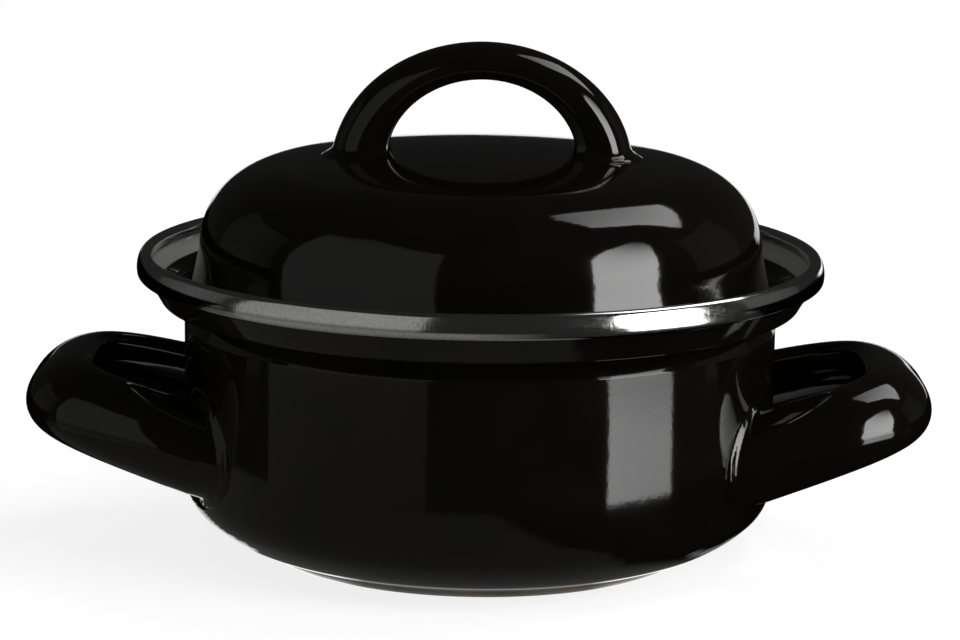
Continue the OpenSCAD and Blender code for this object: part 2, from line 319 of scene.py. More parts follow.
def movedAndClosed(tree, geometry, place, finish, secondFinish=None, secondMask=None):
    setPlace = addNode(tree, "GeometryNodeSetPosition")
    feed(tree, setPlace.inputs["Geometry"], geometry)
    feed(tree, setPlace.inputs["Position"], place)
    shape = setPlace.outputs[0]
    if secondMask is not None:
        store = addNode(tree, "GeometryNodeStoreNamedAttribute", data_type="FLOAT", domain="POINT")
        feed(tree, store.inputs["Geometry"], shape)
        store.inputs["Name"].default_value = "secondFace"
        feed(tree, store.inputs["Value"], secondMask)
        shape = store.outputs[0]
    merge = addNode(tree, "GeometryNodeMergeByDistance")
    feed(tree, merge.inputs["Geometry"], shape)
    merge.inputs["Distance"].default_value = seamGap
    realize = addNode(tree, "GeometryNodeRealizeInstances")
    feed(tree, realize.inputs[0], merge.outputs[0])
    paint = addNode(tree, "GeometryNodeSetMaterial")
    feed(tree, paint.inputs["Geometry"], realize.outputs[0])
    feed(tree, paint.inputs["Material"], finish)
    if secondMask is None:
        return paint.outputs[0]
    again = addNode(tree, "GeometryNodeSetMaterial")
    feed(tree, again.inputs["Geometry"], paint.outputs[0])
    feed(tree, again.inputs["Material"], secondFinish)
    feed(tree, again.inputs["Selection"], sums(tree, "GREATER_THAN", named(tree, "secondFace", "FLOAT"), 0.6))
    return again.outputs[0]


def makeSpinSheet():  # turns an outline into a round pressed sheet
    tree, given, out = newGroup("spinSheet", "GeometryNodeTree", [
        ("Outline", "NodeSocketGeometry", None),
        ("Segments", "NodeSocketInt", 64),
        ("Second Face From", "NodeSocketInt", 0),
        ("First Finish", "NodeSocketMaterial", None),
        ("Second Finish", "NodeSocketMaterial", None),
    ], [("Sheet", "NodeSocketGeometry")])
    columns = sums(tree, "ADD", given["Segments"], 1.0)
    grid, row, column = gridOver(tree, pointCount(tree, given["Outline"]), columns)
    position = addNode(tree, "GeometryNodeInputPosition").outputs[0]
    part = addNode(tree, "ShaderNodeSeparateXYZ")
    feed(tree, part.inputs[0], sampleAt(tree, given["Outline"], position, row))
    turn = sums(tree, "MULTIPLY", sums(tree, "DIVIDE", column, given["Segments"]), math.tau)
    place = addNode(tree, "ShaderNodeCombineXYZ")
    feed(tree, place.inputs["X"], sums(tree, "MULTIPLY", part.outputs["X"], sums(tree, "COSINE", turn)))
    feed(tree, place.inputs["Y"], sums(tree, "MULTIPLY", part.outputs["X"], sums(tree, "SINE", turn)))
    feed(tree, place.inputs["Z"], part.outputs["Z"])
    second = sums(tree, "GREATER_THAN", row, sums(tree, "SUBTRACT", given["Second Face From"], 0.5))
    feed(tree, out["Sheet"], movedAndClosed(tree, grid, place.outputs[0], given["First Finish"],
                                            given["Second Finish"], second))
    return tree


def makeSweptChannel():  # carries a section along a path, flares it into its host and trims it there
    tree, given, out = newGroup("sweptChannel", "GeometryNodeTree", [
        ("Path", "NodeSocketGeometry", None),
        ("Root Section", "NodeSocketObject", None),
        ("End Section", "NodeSocketObject", None),
        ("Across", "NodeSocketVector", (0, 0, 1)),
        ("Host Centre", "NodeSocketVector", (0, 0, 0)),
        ("Host Mask", "NodeSocketVector", (1, 1, 1)),
        ("Host Radius", "NodeSocketFloat", 0.1),
        ("Trim Along", "NodeSocketVector", (0, 0, 1)),
        ("Sink", "NodeSocketFloat", 0.0),
        ("Weld Radius", "NodeSocketFloat", 0.001),
        ("Finish", "NodeSocketMaterial", None),
    ], [("Channel", "NodeSocketGeometry")])

    def sectionOf(label):
        node = addNode(tree, "GeometryNodeObjectInfo")
        feed(tree, node.inputs["Object"], given[label])
        return node.outputs["Geometry"]

    root, end = sectionOf("Root Section"), sectionOf("End Section")
    corners = pointCount(tree, root)
    grid, row, column = gridOver(tree, pointCount(tree, given["Path"]), sums(tree, "ADD", corners, 1.0))
    corner = sums(tree, "MODULO", column, corners)
    position = addNode(tree, "GeometryNodeInputPosition").outputs[0]
    along = sampleAt(tree, given["Path"], position, row)
    outward = sampleAt(tree, given["Path"], named(tree, "outward"), row)
    taper = sampleAt(tree, given["Path"], named(tree, "taper", "FLOAT"), row, "FLOAT")
    blend = addNode(tree, "ShaderNodeMix", data_type="VECTOR")
    feed(tree, blend.inputs["Factor"], taper)
    for name, section in (("A", root), ("B", end)):
        feed(tree, [s for s in blend.inputs if s.name == name and s.type == "VECTOR"][0],
             sampleAt(tree, section, position, corner))
    section = [s for s in blend.outputs if s.type == "VECTOR"][0]

    def inPlace(flat):  # from the section's own plane to where the path puts it
        part = addNode(tree, "ShaderNodeSeparateXYZ")
        feed(tree, part.inputs[0], flat)
        return vectors(tree, "ADD", vectors(tree, "SCALE", outward, scale=part.outputs["X"]),
                       vectors(tree, "SCALE", given["Across"], scale=part.outputs["Z"]))

    place = vectors(tree, "ADD", along, inPlace(section))

    def fromHost(point):
        apart = vectors(tree, "SUBTRACT", point, given["Host Centre"])
        return vectors(tree, "MULTIPLY", apart, given["Host Mask"])

    gap = sums(tree, "SUBTRACT", vectors(tree, "LENGTH", fromHost(place)), given["Host Radius"])
    near = sums(tree, "MAXIMUM", sums(tree, "SUBTRACT", given["Weld Radius"], gap), 0.0)
    near = sums(tree, "MINIMUM", near, given["Weld Radius"])
    arc = sums(tree, "SQRT", sums(tree, "SUBTRACT", sums(tree, "POWER", given["Weld Radius"], 2.0),
                                  sums(tree, "POWER", near, 2.0)))
    flare = inPlace(sampleAt(tree, root, named(tree, "flare"), corner))
    place = vectors(tree, "ADD", place, vectors(tree, "SCALE", flare,
                                                scale=sums(tree, "SUBTRACT", given["Weld Radius"], arc)))
    inner = fromHost(place)  # what lies deeper in the host than the sink slides back along the trim direction
    slide = vectors(tree, "MULTIPLY", given["Trim Along"], given["Host Mask"])
    a = vectors(tree, "DOT_PRODUCT", slide, slide)
    b = vectors(tree, "DOT_PRODUCT", inner, slide)
    c = sums(tree, "SUBTRACT", vectors(tree, "DOT_PRODUCT", inner, inner),
             sums(tree, "POWER", sums(tree, "SUBTRACT", given["Host Radius"], given["Sink"]), 2.0))
    square = sums(tree, "SUBTRACT", sums(tree, "MULTIPLY", b, b), sums(tree, "MULTIPLY", a, c))
    square = sums(tree, "MAXIMUM", square, 0.0)
    travel = sums(tree, "DIVIDE", sums(tree, "SUBTRACT", sums(tree, "SQRT", square), b), a)
    travel = sums(tree, "MULTIPLY", sums(tree, "MAXIMUM", travel, 0.0), sums(tree, "LESS_THAN", c, 0.0))
    place = vectors(tree, "ADD", place, vectors(tree, "SCALE", given["Trim Along"], scale=travel))
    feed(tree, out["Channel"], movedAndClosed(tree, grid, place, given["Finish"]))
    return tree


spinSheet = makeSpinSheet()
sweptChannel = makeSweptChannel()


def grown(shape, tree, name, **values):  # runs a node tree on a shape, and keeps a plain closed mesh
    modifier = shape.modifiers.new("grow", "NODES")
    modifier.node_group = tree
    for item in tree.interface.items_tree:
        if item.item_type == "SOCKET" and item.in_out == "INPUT" and item.name in values:
            modifier[item.identifier] = values[item.name]
    shape.update_tag()
    graph = bpy.context.evaluated_depsgraph_get()
    graph.update()
    mesh = bpy.data.meshes.new_from_object(shape.evaluated_get(graph))
    shape.modifiers.clear()
    bpy.data.objects.remove(shape)
    mesh.name = name
    work = bmesh.new()
    work.from_mesh(mesh)
    bmesh.ops.dissolve_degenerate(work, dist=1e-7, edges=work.edges)
    openEdges = [e for e in work.edges if e.is_boundary]
    if openEdges:
        filled = bmesh.ops.holes_fill(work, edges=openEdges, sides=0)
        bmesh.ops.triangulate(work, faces=filled["faces"])
    bmesh.ops.recalc_face_normals(work, faces=work.faces)
    for face in work.faces:
        face.smooth = True
    work.to_mesh(mesh)
    work.free()
    piece = bpy.data.objects.new(name, mesh)
    scene.collection.objects.link(piece)
    return piece


def handIn(piece, node):
    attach(piece, "root")
    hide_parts(node)


roundSegments = 288


def spun(name, outline, secondFace, firstFinish, secondFinish):
    return grown(outlineObject(name + "Outline", outline), spinSheet, name, **{
        "Segments": roundSegments, "Second Face From": secondFace,
        "First Finish": firstFinish, "Second Finish": secondFinish})


# pot, in millimetres and degrees

pot = {
    "wallRadius": 61.4, "height": 60.9, "sheet": 1.2, "footRadius": 46.0, "footTread": 3.2, "footBend": 1.8,
    "floorLift": 0.8, "dipTurn": 30, "footTurn": 75, "footHollow": 1.0, "bellyStart": 11, "bellyTurn": 45,
    "bellyBend": 8.5, "shoulderBend": 0.3, "shoulderInside": 1.25, "shoulderTurn": 30, "shoulderRun": 3.5,
    "neckBend": 1.0, "rimHeight": 9.1, "ledgeOuter": 65.1, "ledgeBend": 0.2, "flareSlope": 60,
    "flareBend": 6.0, "edgeRun": 1.0,
}


def sinDeg(angle):
    return math.sin(math.radians(angle))


def cosDeg(angle):
    return math.cos(math.radians(angle))


def tanDeg(angle):
    return math.tan(math.radians(angle))


dipBend = pot["floorLift"] / (2 * (1 - cosDeg(pot["dipTurn"])))
floorRun = pot["footRadius"] - pot["footBend"] * sinDeg(pot["footTurn"]) - pot["footTread"] \
    - 2 * dipBend * sinDeg(pot["dipTurn"])
bellyInner = pot["footRadius"] + pot["footHollow"] * (sinDeg(pot["footTurn"]) - sinDeg(pot["bellyStart"]))
bellyRadius = (pot["wallRadius"] - bellyInner - pot["bellyBend"] * (1 - sinDeg(pot["bellyTurn"]))) / (
    sinDeg(pot["bellyTurn"]) - sinDeg(pot["bellyStart"]))
wallLow = pot["footBend"] * (1 - cosDeg(pot["footTurn"])) \
    + pot["footHollow"] * (cosDeg(pot["bellyStart"]) - cosDeg(pot["footTurn"])) \
    + bellyRadius * (cosDeg(pot["bellyStart"]) - cosDeg(pot["bellyTurn"])) \
    + pot["bellyBend"] * cosDeg(pot["bellyTurn"])
ledgeHeight = pot["height"] - pot["rimHeight"]
cornerHeight = ledgeHeight - pot["neckBend"] * (1 + sinDeg(pot["shoulderTurn"])) \
    - pot["shoulderRun"] * cosDeg(pot["shoulderTurn"])
ledgeInner = pot["wallRadius"] - pot["shoulderRun"] * sinDeg(pot["shoulderTurn"]) \
    + pot["neckBend"] * cosDeg(pot["shoulderTurn"])
ledgeCorner = pot["ledgeBend"] + pot["sheet"]
flareInner = pot["ledgeOuter"] + ledgeCorner * sinDeg(pot["flareSlope"])
flareLow = ledgeHeight + ledgeCorner * (1 - cosDeg(pot["flareSlope"]))
flareHigh = pot["height"] - pot["edgeRun"] - pot["flareBend"] * cosDeg(pot["flareSlope"])
flareRun = (flareHigh - flareLow) / sinDeg(pot["flareSlope"])
rimRadius = flareInner + flareRun * cosDeg(pot["flareSlope"]) \
    + pot["flareBend"] * (1 - sinDeg(pot["flareSlope"]))


def potStates(shoulderBend):  # the outside's shoulder is a crisp corner, and the inside's a softer one
    corner = shoulderBend * tanDeg(pot["shoulderTurn"] / 2)
    return traceSheet(0, pot["floorLift"], [
        (floorRun,),
        (dipBend, -pot["dipTurn"]),
        (dipBend, pot["dipTurn"]),
        (pot["footTread"],),
        (pot["footBend"], pot["footTurn"]),
        (pot["footHollow"], pot["bellyStart"] - pot["footTurn"]),
        (bellyRadius, pot["bellyTurn"] - pot["bellyStart"]),
        (pot["bellyBend"], 90 - pot["bellyTurn"]),
        (cornerHeight - wallLow - corner,),
        (shoulderBend, pot["shoulderTurn"]),
        (pot["shoulderRun"] - corner,),
        (pot["neckBend"], -90 - pot["shoulderTurn"]),
        (pot["ledgeOuter"] - ledgeInner,),
        (ledgeCorner, pot["flareSlope"]),
        (flareRun,),
        (pot["flareBend"], 90 - pot["flareSlope"]),
        (pot["edgeRun"] - pot["sheet"] / 2,),
    ])


potOutline, potInside = sheetOutline(potStates(pot["shoulderBend"]), pot["sheet"], 1,
                                     softer=potStates(pot["shoulderInside"]))
potPiece = spun("potShell", potOutline, potInside, potEnamel, greyEnamel)
handIn(potPiece, "pot_shell")
print("pot made, rim radius", round(rimRadius, 2), "wall", round(wallLow, 2), round(cornerHeight, 2))

# rim band

band = {"sheet": 0.5, "leg": 0.9, "crown": 1.4, "lean": 65, "face": 6.0, "tuck": 100, "edge": 0.8}
bandMoves = [
    (band["leg"] - band["sheet"] / 2,),
    (band["crown"], -90 - band["lean"]),
    (band["face"], band["lean"] - band["tuck"]),
    (band["edge"], band["tuck"] - 180),
]
bandStart = (rimRadius - pot["sheet"] - band["sheet"], pot["height"] - band["leg"] + band["sheet"] / 2)
bandLow = traceSheet(*bandStart, bandMoves, heading=90)[-1][0]
bandTip = flareInner + (bandLow.y + band["sheet"] - flareLow) / tanDeg(pot["flareSlope"])
bandStates = traceSheet(*bandStart, bandMoves + [(bandLow.x - bandTip - band["sheet"] / 2,)], heading=90)
bandOutline, bandInside = sheetOutline(bandStates, band["sheet"], -1, ring=True)
bandPiece = spun("rimBand", bandOutline, bandInside, rolledSteel, rolledSteel)
handIn(bandPiece, "rim_band")
print("rim band made")

# lid

lid = {
    "sheet": 1.2, "crownSlope": 8.5, "shoulderBend": 19.8, "browTurn": 40, "cheekBend": 16.8, "wall": 1.2,
    "lean": 4.7, "skirtBend": 17.0, "skirtTurn": 30, "coveBend": 2.0, "seatWidth": 0.3, "lipGap": 0.4,
    "lipBend": 1.4, "lipRun": 2.2,
}
ledgeTop = ledgeHeight + pot["sheet"]
wallTurn = 90 - lid["lean"]
coveTurn = wallTurn - lid["skirtTurn"]
seatOuter = pot["ledgeOuter"] - lid["lipGap"] / sinDeg(pot["flareSlope"]) \
    - (lid["lipBend"] + lid["sheet"] - pot["ledgeBend"]) * tanDeg(pot["flareSlope"] / 2)
footWidth = lid["skirtBend"] * (sinDeg(wallTurn) - sinDeg(coveTurn)) + lid["coveBend"] * sinDeg(coveTurn)
footDrop = lid["skirtBend"] * (cosDeg(coveTurn) - cosDeg(wallTurn)) + lid["coveBend"] * (1 - cosDeg(coveTurn))
shoulderWidth = lid["shoulderBend"] * (sinDeg(lid["browTurn"]) - sinDeg(lid["crownSlope"])) \
    + lid["cheekBend"] * (sinDeg(wallTurn) - sinDeg(lid["browTurn"]))
shoulderDrop = lid["shoulderBend"] * (cosDeg(lid["crownSlope"]) - cosDeg(lid["browTurn"])) \
    + lid["cheekBend"] * (cosDeg(lid["browTurn"]) - cosDeg(wallTurn))
crownRadius = (seatOuter - lid["seatWidth"] - footWidth - lid["wall"] * cosDeg(wallTurn) - shoulderWidth) \
    / sinDeg(lid["crownSlope"])
lidTop = ledgeTop + lid["sheet"] + footDrop + lid["wall"] * sinDeg(wallTurn) + shoulderDrop \
    + crownRadius * (1 - cosDeg(lid["crownSlope"]))
lidStates = traceSheet(0, lidTop, [
    (crownRadius, -lid["crownSlope"]),
    (lid["shoulderBend"], lid["crownSlope"] - lid["browTurn"]),
    (lid["cheekBend"], lid["browTurn"] - wallTurn),
    (lid["wall"],),
    (lid["skirtBend"], lid["skirtTurn"]),
    (lid["coveBend"], coveTurn),
    (lid["seatWidth"],),
    (lid["lipBend"], pot["flareSlope"]),
    (lid["lipRun"] - lid["sheet"] / 2,),
])
lidOutline, lidInside = sheetOutline(lidStates, lid["sheet"], -1)
lidPiece = spun("lidShell", lidOutline, lidInside, blackEnamel, greyEnamel)
handIn(lidPiece, "lid_shell")
print("lid made, crown radius", round(crownRadius, 1))

# handles: hollow channels, open on the side that the fingers meet

channelSteps = {"cheek": 5, "back": 30, "edge": 5}


def channelSection(name, bulge, half, cheek, pinch, sheet):
    cheekParts = [1 - k / channelSteps["cheek"] for k in range(channelSteps["cheek"])]
    backTurns = [math.radians(-90 + 180 * k / channelSteps["back"]) for k in range(channelSteps["back"] + 1)]

    def skin(reach, width):
        low = [((-cheek * t, pinch * t * t - width), (0, -1)) for t in cheekParts]
        back = []
        for a in backTurns:
            out = Vector((math.cos(a) / reach, math.sin(a) / width)).normalized()
            back.append(((reach * math.cos(a), width * math.sin(a)), (out.x, out.y)))
        high = [((-cheek * t, width - pinch * t * t), (0, 1)) for t in cheekParts[::-1]]
        return low + back + high

    def edge(side):  # rounded edge of a cheek, from the outer face to the inner one
        middle = side * (half - pinch - sheet / 2)
        return [((-cheek - sheet / 2 * math.sin(a), middle + side * sheet / 2 * math.cos(a)), (0, side))
                for a in [math.pi * k / channelSteps["edge"] for k in range(1, channelSteps["edge"])]]

    ring = skin(bulge, half) + edge(1) + skin(bulge - sheet, half - sheet)[::-1] + edge(-1)[::-1]
    shape = outlineObject(name, [p for p, flare in ring])
    flares = shape.data.attributes.new("flare", "FLOAT_VECTOR", "POINT")
    for i, (p, flare) in enumerate(ring):
        flares.data[i].vector = (flare[0], 0, flare[1])
    return shape


def pathObject(name, points, tapers, turnSide):  # a handle's line, with each point's outward direction
    mesh = bpy.data.meshes.new(name)
    last = len(points) - 1
    mesh.from_pydata([Vector(p) * mm for p in points], [(i, i + 1) for i in range(last)], [])
    runs = [Vector(points[min(i + 1, last)]) - Vector(points[max(i - 1, 0)]) for i in range(last + 1)]
    outward = mesh.attributes.new("outward", "FLOAT_VECTOR", "POINT")
    outward.data.foreach_set("vector", [value for run in runs for value in turnSide(run)])
    taper = mesh.attributes.new("taper", "FLOAT", "POINT")
    taper.data.foreach_set("value", tapers)
    shape = bpy.data.objects.new(name, mesh)
    scene.collection.objects.link(shape)
    return shape


def sweptHandle(name, path, rootSection, endSection, **values):
    shared = {"Root Section": rootSection, "End Section": endSection, "Finish": blackEnamel}
    piece = grown(path, sweptChannel, name, **shared, **values)
    bpy.data.objects.remove(rootSection)
    bpy.data.objects.remove(endSection)
    return piece


sideHandle = {
    "sheet": 1.2, "reach": 23.3, "rootWidth": 51.4, "endWidth": 46.0, "square": 3.5, "rise": 16.6,
    "height": 26.4, "rootSection": 18.9, "endSection": 16.0, "bulge": 9.0, "cheek": 2.9, "pinch": 1.5,
    "weld": 1.5, "sink": 0.4, "armSteps": 90, "bunching": 1.5, "rootStep": 0.3, "rootSteps": 26,
}


def makeSideHandle():
    wall, s = pot["wallRadius"], sideHandle
    rootX = math.sqrt(wall ** 2 - (s["rootWidth"] / 2) ** 2)
    endX = wall + s["reach"]
    arm = []
    for k in range(s["armSteps"] + 1):
        turn = math.radians(90 * (1 - (1 - k / s["armSteps"]) ** s["bunching"]))
        size = (abs(math.cos(turn)) ** s["square"] + abs(math.sin(turn)) ** s["square"]) ** (1 / s["square"])
        along = math.cos(turn) / size
        half = (s["rootWidth"] + (s["endWidth"] - s["rootWidth"]) * along) / 2
        arm.append((rootX + (endX - rootX) * along, half * math.sin(turn) / size))
    arm += [(rootX - s["rootStep"] * k, s["rootWidth"] / 2) for k in range(1, s["rootSteps"] + 1)]
    line = [(x, -y) for x, y in arm[:0:-1]] + arm
    points = [(x, y, s["height"] + (x - wall) * tanDeg(s["rise"])) for x, y in line]
    tapers = [max(0.0, (x - rootX) / (endX - rootX)) for x, y in line]
    path = pathObject("sideHandlePath", points, tapers, lambda run: Vector((run.y, -run.x, 0)).normalized())
    cheek = s["cheek"] - s["sheet"] / 2
    rootSection = channelSection("sideRoot", s["bulge"], s["rootSection"] / 2, cheek, s["pinch"], s["sheet"])
    endSection = channelSection("sideEnd", s["bulge"], s["endSection"] / 2, cheek, s["pinch"], s["sheet"])
    return sweptHandle("rightHandle", path, rootSection, endSection, **{
        "Across": (-sinDeg(s["rise"]), 0, cosDeg(s["rise"])), "Host Mask": (1, 1, 0),
        "Host Radius": wall * mm, "Trim Along": (cosDeg(s["rise"]), 0, sinDeg(s["rise"])),
        "Sink": s["sink"] * mm, "Weld Radius": s["weld"] * mm})


rightHandle = makeSideHandle()
handIn(rightHandle, "right_handle")
leftMesh = rightHandle.data.copy()
leftMesh.transform(Matrix.Diagonal((-1, 1, 1, 1)))
leftMesh.flip_normals()
leftHandle = bpy.data.objects.new("leftHandle", leftMesh)
scene.collection.objects.link(leftHandle)
handIn(leftHandle, "left_handle")
print("side handles made")

lidHandle = {
    "sheet": 1.2, "span": 25.8, "rise": 16.8, "lowered": 4.8, "topWidth": 14.0, "footWidth": 15.4,
    "topBulge": 5.0, "footBulge": 5.6, "topCheek": 2.1, "footCheek": 7.3, "pinch": 0.6, "weld": 2.0,
    "sink": 0.4, "archSteps": 160,
}


def makeLidHandle():
    a = lidHandle
    low, tall = lidTop - a["lowered"], a["rise"] + a["lowered"]
    turns = [math.radians(-90 + 180 * k / a["archSteps"]) for k in range(a["archSteps"] + 1)]
    points = [(a["span"] * math.sin(t), 0, low + tall * math.cos(t)) for t in turns]
    tapers = [math.cos(t) for t in turns]
    path = pathObject("lidHandlePath", points, tapers, lambda run: Vector((-run.z, 0, run.x)).normalized())
    footCheek, topCheek = a["footCheek"] - a["sheet"] / 2, a["topCheek"] - a["sheet"] / 2
    footSection = channelSection("archFoot", a["footBulge"], a["footWidth"] / 2, footCheek,
                                 a["pinch"], a["sheet"])
    topSection = channelSection("archTop", a["topBulge"], a["topWidth"] / 2, topCheek,
                                a["pinch"], a["sheet"])
    return sweptHandle("lidHandle", path, footSection, topSection, **{
        "Across": (0, 1, 0), "Host Centre": (0, 0, (lidTop - crownRadius) * mm), "Host Mask": (1, 1, 1),
        "Host Radius": crownRadius * mm, "Trim Along": (0, 0, 1),
        "Sink": a["sink"] * mm, "Weld Radius": a["weld"] * mm})


archPiece = makeLidHandle()
handIn(archPiece, "lid_handle")
print("lid handle made")

# stage: a pale floor, a surround that is white to the camera and dark in reflections, and panels to mirror


def towards(azimuth, elevation, distance):  # azimuth 0 is the camera's side, and 90 is the right
    flat = distance * cosDeg(elevation)
    return Vector((flat * sinDeg(azimuth), -flat * cosDeg(azimuth), distance * sinDeg(elevation)))


def makeGlow():  # each point of a panel says how bright it is
    material = bpy.data.materials.new("softPanel")
    material.use_nodes = True
    tree = material.node_tree
    tree.nodes.clear()
    glow = addNode(tree, "ShaderNodeEmission")
    level = addNode(tree, "ShaderNodeAttribute", attribute_name="glow")
    feed(tree, glow.inputs["Strength"], level.outputs["Fac"])
    feed(tree, addNode(tree, "ShaderNodeOutputMaterial").inputs["Surface"], glow.outputs[0])
    return material


softPanel = makeGlow()


def glowCard(name, points, glows, width):  # a glowing grid, seen in reflections only; None leaves a hole
    mesh = bpy.data.meshes.new(name)
    corners = [(i, i + 1, i + width + 1, i + width) for i in range(len(points) - width) if (i + 1) % width]
    mesh.from_pydata(points, [], [c for c in corners if None not in [glows[i] for i in c]])
    mesh.attributes.new("glow", "FLOAT", "POINT").data.foreach_set("value", [g or 0.0 for g in glows])
    mesh.materials.append(softPanel)
    card = bpy.data.objects.new(name, mesh)
    scene.collection.objects.link(card)
    card.visible_camera = card.visible_diffuse = card.visible_shadow = card.visible_transmission = False


potMiddle = Vector((0, 0, 0.045))
panelDistance = 3.0
rowsBetween, pointsBetween = 6, 8
panels = {  # rows from low to high: elevation, then points along it as azimuth and glow
    "keyPanel": [
        (-20, (50, 0.0), (50.6, 0.0), (78, 0.0), (79, 0.0)),
        (-17, (50, 0.0), (50.6, 4.2), (78, 3.2), (79, 0.0)),
        (-13.2, (49.8, 0.0), (50.4, 4.8), (78, 3.6), (79, 0.0)),
        (-12.4, (49.6, 0.0), (50.2, 3.9), (77.8, 2.8), (78.8, 0.0)),
        (-11, (49.2, 0.0), (49.8, 3.7), (77.4, 2.6), (78.4, 0.0)),
        (-6, (47, 0.0), (48, 6.2), (75.5, 5.6), (76.5, 0.0)),
        (-2, (45.2, 0.0), (46, 7.7), (73.4, 7.6), (74.2, 0.0)),
        (5, (45, 0.0), (45.8, 7.8), (74.4, 7.7), (75.2, 0.0)),
        (11, (45.2, 0.0), (46, 8.1), (75, 7.7), (75.8, 0.0)),
        (15, (45.4, 0.0), (46.2, 7.7), (76.4, 7.5), (77.2, 0.0)),
        (22, (46.3, 0.0), (47.1, 7.5), (78, 6.8), (78.8, 0.0)),
        (30, (48.1, 0.0), (49, 7.3), (80, 4.7), (80.8, 0.0)),
        (36, (52.8, 0.0), (54, 6.5), (82.6, 1.8), (83.6, 0.0)),
        (40.2, (61, 0.0), (62.5, 4.6), (82, 0.6), (84, 0.0)),
        (42.5, (73, 0.0), (74.5, 1.2), (79, 0.4), (81, 0.0))],
    "wingPanel": [
        (36.2, (112.5, 0.0), (113, 0.0), (113.5, 0.0), (114, 0.0)),
        (37.8, (112, 0.0), (112.8, 2.6), (117.5, 2.6), (118.5, 0.0)),
        (40.2, (111.5, 0.0), (112.3, 3.3), (127, 3.0), (129, 0.0)),
        (42, (111, 0.0), (111.8, 3.6), (146, 2.2), (148, 0.0)),
        (47, (110.5, 0.0), (111.3, 3.6), (146, 1.9), (148, 0.0)),
        (52, (109.5, 0.0), (110.3, 3.4), (146, 1.7), (148, 0.0)),
        (58, (102, 0.0), (103, 3.2), (146, 1.6), (148, 0.0)),
        (64, (94.6, 0.0), (95.6, 2.8), (145, 1.5), (147, 0.0)),
        (68.8, (108, 0.0), (110, 1.9), (143, 1.2), (145, 0.0)),
        (71.6, (126, 0.0), (128, 0.9), (129, 0.9), (131, 0.0))],
    "sidePanel": [
        (-15.6, (-88, 0.0), (-87, 0.1), (-40, 0.08), (-19.8, 0.07), (-19, 0.0)),
        (-11, (-87.5, 0.0), (-86.5, 0.14), (-40, 0.13), (-19.6, 0.13), (-18.8, 0.0)),
        (-4, (-85.4, 0.0), (-84.4, 0.22), (-40, 0.25), (-18, 0.24), (-17.2, 0.0)),
        (44, (-85, 0.0), (-84, 0.2), (-40, 0.25), (-17.8, 0.23), (-17, 0.0)),
        (46, (-85, 0.0), (-84, 0.12), (-46, 0.22), (-28, 0.22), (-27, 0.0)),
        (52, (-62, 0.0), (-61, 0.16), (-60, 0.16), (-59, 0.17), (-58, 0.0))],
    "lowPanel": [
        (-36, (-130, 0.04), (-92, 0.07), (-86, 0.16), (-4, 0.14), (22, 0.03)),
        (-15.5, (-130, 0.04), (-92, 0.07), (-86, 0.16), (-4, 0.14), (22, 0.03))],
    "farPanel": [
        (-12, (-130, 0.04), (-108, 0.07), (-92, 0.05)),
        (30, (-130, 0.04), (-108, 0.07), (-92, 0.05))],
    "besidePanel": [
        (-12, (96, 0.07), (112, 0.07), (128, 0.04)),
        (30, (96, 0.07), (112, 0.07), (128, 0.04))],
}


def partWay(first, second, step, steps):  # each number moved that share of the way to the second list's
    return [a + (b - a) * step / steps for a, b in zip(first, second)]


for name, rows in panels.items():
    points, glows = [], []
    for low, high in zip(rows, rows[1:] + rows[-1:]):
        for k in range(rowsBetween if high is not low else 1):
            row = partWay(low[:1], high[:1], k, rowsBetween)
            row += [partWay(first, second, k, rowsBetween) for first, second in zip(low[1:], high[1:])]
            fine = [partWay(row[i], row[i + 1], j, pointsBetween)
                    for i in range(1, len(row) - 1) for j in range(pointsBetween)] + [row[-1]]
            points += [potMiddle + towards(azimuth, row[0], panelDistance) for azimuth, glow in fine]
            glows += [glow for azimuth, glow in fine]
    glowCard(name, points, glows, len(fine))

floorSheen = {  # the floor as the enamel mirrors it: dim under the belly, bright at the foot and far behind
    "foot": 0.0465, "footGlow": 0.5, "sideGlow": 2.0, "sideFrom": 30, "sideFade": 8, "dim": 0.1,
    "dimFade": 0.005, "backGlow": 1.1, "rightGlow": 0.25, "rim": 0.069, "open": 0.146,
    "leftLine": (1.15, 0.079), "rightLine": (2.6, 0.155), "backFrom": 0.6, "backSpread": (-0.27, 0.6),
    "reach": ((-180, 0.148), (5, 0.148), (23, 0.108), (34, 0.06), (70, 0.05), (180, 0.05)),
    "fineFrom": 0.03, "fineStep": 0.002, "fineCount": 57, "coarseFrom": 0.145, "coarseGrowth": 1.25,
    "coarseCount": 13, "turnStep": 2.5, "turnCount": 144,
}


def held(share):  # kept between 0 and 1
    return min(1.0, max(0.0, share))


def between(pairs, at):
    for (x0, y0), (x1, y1) in zip(pairs, pairs[1:]):
        if at <= x1:
            return y0 + (y1 - y0) * (at - x0) / (x1 - x0)
    return pairs[-1][1]


def sheenAt(x, y):
    f = floorSheen
    r, turn = math.hypot(x, y), math.degrees(math.atan2(x, -y))
    if r < f["foot"]:
        aside = held((abs(turn) - f["sideFrom"]) / f["sideFade"])
        return f["footGlow"] + (f["sideGlow"] - f["footGlow"]) * aside
    if y > f["backFrom"] and f["backSpread"][0] < x / y < f["backSpread"][1]:
        return f["backGlow"]
    if -f["rim"] < x < -f["foot"] and f["open"] > y > f["leftLine"][0] * -x - f["leftLine"][1]:
        return f["backGlow"]
    if f["rim"] > x > f["foot"] and f["open"] > y > f["rightLine"][0] * x - f["rightLine"][1]:
        return f["rightGlow"]
    if y < 0 and r > f["open"]:
        return None
    return f["dim"] * held((between(f["reach"], turn) - r) / f["dimFade"]) if y < 0 else 0.0


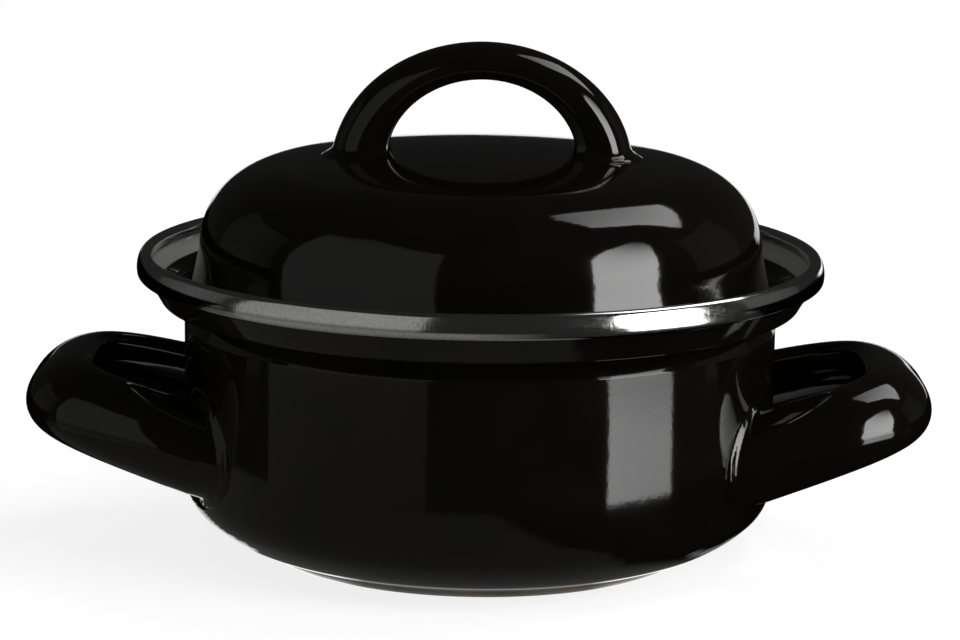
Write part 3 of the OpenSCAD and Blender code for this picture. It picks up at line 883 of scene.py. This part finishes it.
sheenRadii = [floorSheen["fineFrom"] + floorSheen["fineStep"] * k for k in range(floorSheen["fineCount"])]
sheenRadii += [floorSheen["coarseFrom"] * floorSheen["coarseGrowth"] ** k
               for k in range(1, floorSheen["coarseCount"] + 1)]
sheenTurns = [math.radians(floorSheen["turnStep"] * k) for k in range(floorSheen["turnCount"] + 1)]
sheenPoints = [Vector((r * math.sin(t), -r * math.cos(t), 0)) for r in sheenRadii for t in sheenTurns]
glowCard("floorSheen", sheenPoints, [sheenAt(p.x, p.y) for p in sheenPoints], len(sheenTurns))

floor = {"size": 6.0, "albedo": (0.34, 0.34, 0.34, 1), "lift": 0.82}


def makeFloor():
    mesh = bpy.data.meshes.new("floor")
    h = floor["size"] / 2
    mesh.from_pydata([(-h, -h, 0), (h, -h, 0), (h, h, 0), (-h, h, 0)], [], [(0, 1, 2, 3)])
    ground = bpy.data.objects.new("floor", mesh)
    scene.collection.objects.link(ground)
    material = bpy.data.materials.new("paleFloor")
    material.use_nodes = True
    tree = material.node_tree
    tree.nodes.clear()
    diffuse = addNode(tree, "ShaderNodeBsdfDiffuse")
    diffuse.inputs["Color"].default_value = floor["albedo"]
    lift = addNode(tree, "ShaderNodeEmission")
    lift.inputs["Strength"].default_value = floor["lift"]
    pale = addNode(tree, "ShaderNodeAddShader")
    feed(tree, pale.inputs[0], diffuse.outputs[0])
    feed(tree, pale.inputs[1], lift.outputs[0])
    feed(tree, addNode(tree, "ShaderNodeOutputMaterial").inputs["Surface"], pale.outputs[0])
    mesh.materials.append(material)
    ground.visible_glossy = False


makeFloor()
surround = {"ambient": 0.4, "mirrored": 0.02}  # strengths that diffuse rays and glossy rays meet


def makeSurround():
    world = bpy.data.worlds.new("surround")
    scene.world = world
    world.use_nodes = True
    tree = world.node_tree
    tree.nodes.clear()
    light = addNode(tree, "ShaderNodeLightPath").outputs
    sky = addNode(tree, "ShaderNodeBackground")
    darker = surround["mirrored"] - surround["ambient"]
    unseen = sums(tree, "MULTIPLY_ADD", light["Is Glossy Ray"], darker, surround["ambient"])
    seen = sums(tree, "MAXIMUM", light["Is Camera Ray"], light["Is Transmission Ray"])
    feed(tree, sky.inputs["Strength"], sums(tree, "MAXIMUM", unseen, seen))
    feed(tree, addNode(tree, "ShaderNodeOutputWorld").inputs["Surface"], sky.outputs[0])


makeSurround()

lamps = {
    "keyLamp": {"at": (62, 24, 1.2), "size": 0.7, "watts": 9.0},
    "topLamp": {"at": (118, 58, 1.3), "size": 0.8, "watts": 6.0},
}
for name, lamp in lamps.items():
    data = bpy.data.lights.new(name, "AREA")
    data.size = lamp["size"]
    data.energy = lamp["watts"]
    shining = bpy.data.objects.new(name, data)
    shining.location = potMiddle + towards(*lamp["at"])
    shining.rotation_euler = (potMiddle - shining.location).to_track_quat("-Z", "Y").to_euler()
    shining.visible_glossy = False
    scene.collection.objects.link(shining)

view = {
    "target": (0, 0, 0.04715), "distance": 0.7, "elevation": 11.39, "turn": 0.75,
    "focalPixels": 3355, "widthPixels": 960, "sensorWidth": 36.0,
}
lens = bpy.data.cameras.new("photoCamera")
lens.sensor_width = view["sensorWidth"]
lens.lens = view["focalPixels"] / view["widthPixels"] * lens.sensor_width
camera = bpy.data.objects.new("photoCamera", lens)
camera.location = Vector(view["target"]) + towards(0, view["elevation"], view["distance"])
aim = (Vector(view["target"]) - camera.location).to_track_quat("-Z", "Y").to_matrix().to_4x4()
roll = Matrix.Rotation(math.radians(view["turn"]), 4, "Z")
camera.matrix_world = Matrix.Translation(camera.location) @ aim @ roll
scene.collection.objects.link(camera)
scene.camera = camera
print("stage and camera set")
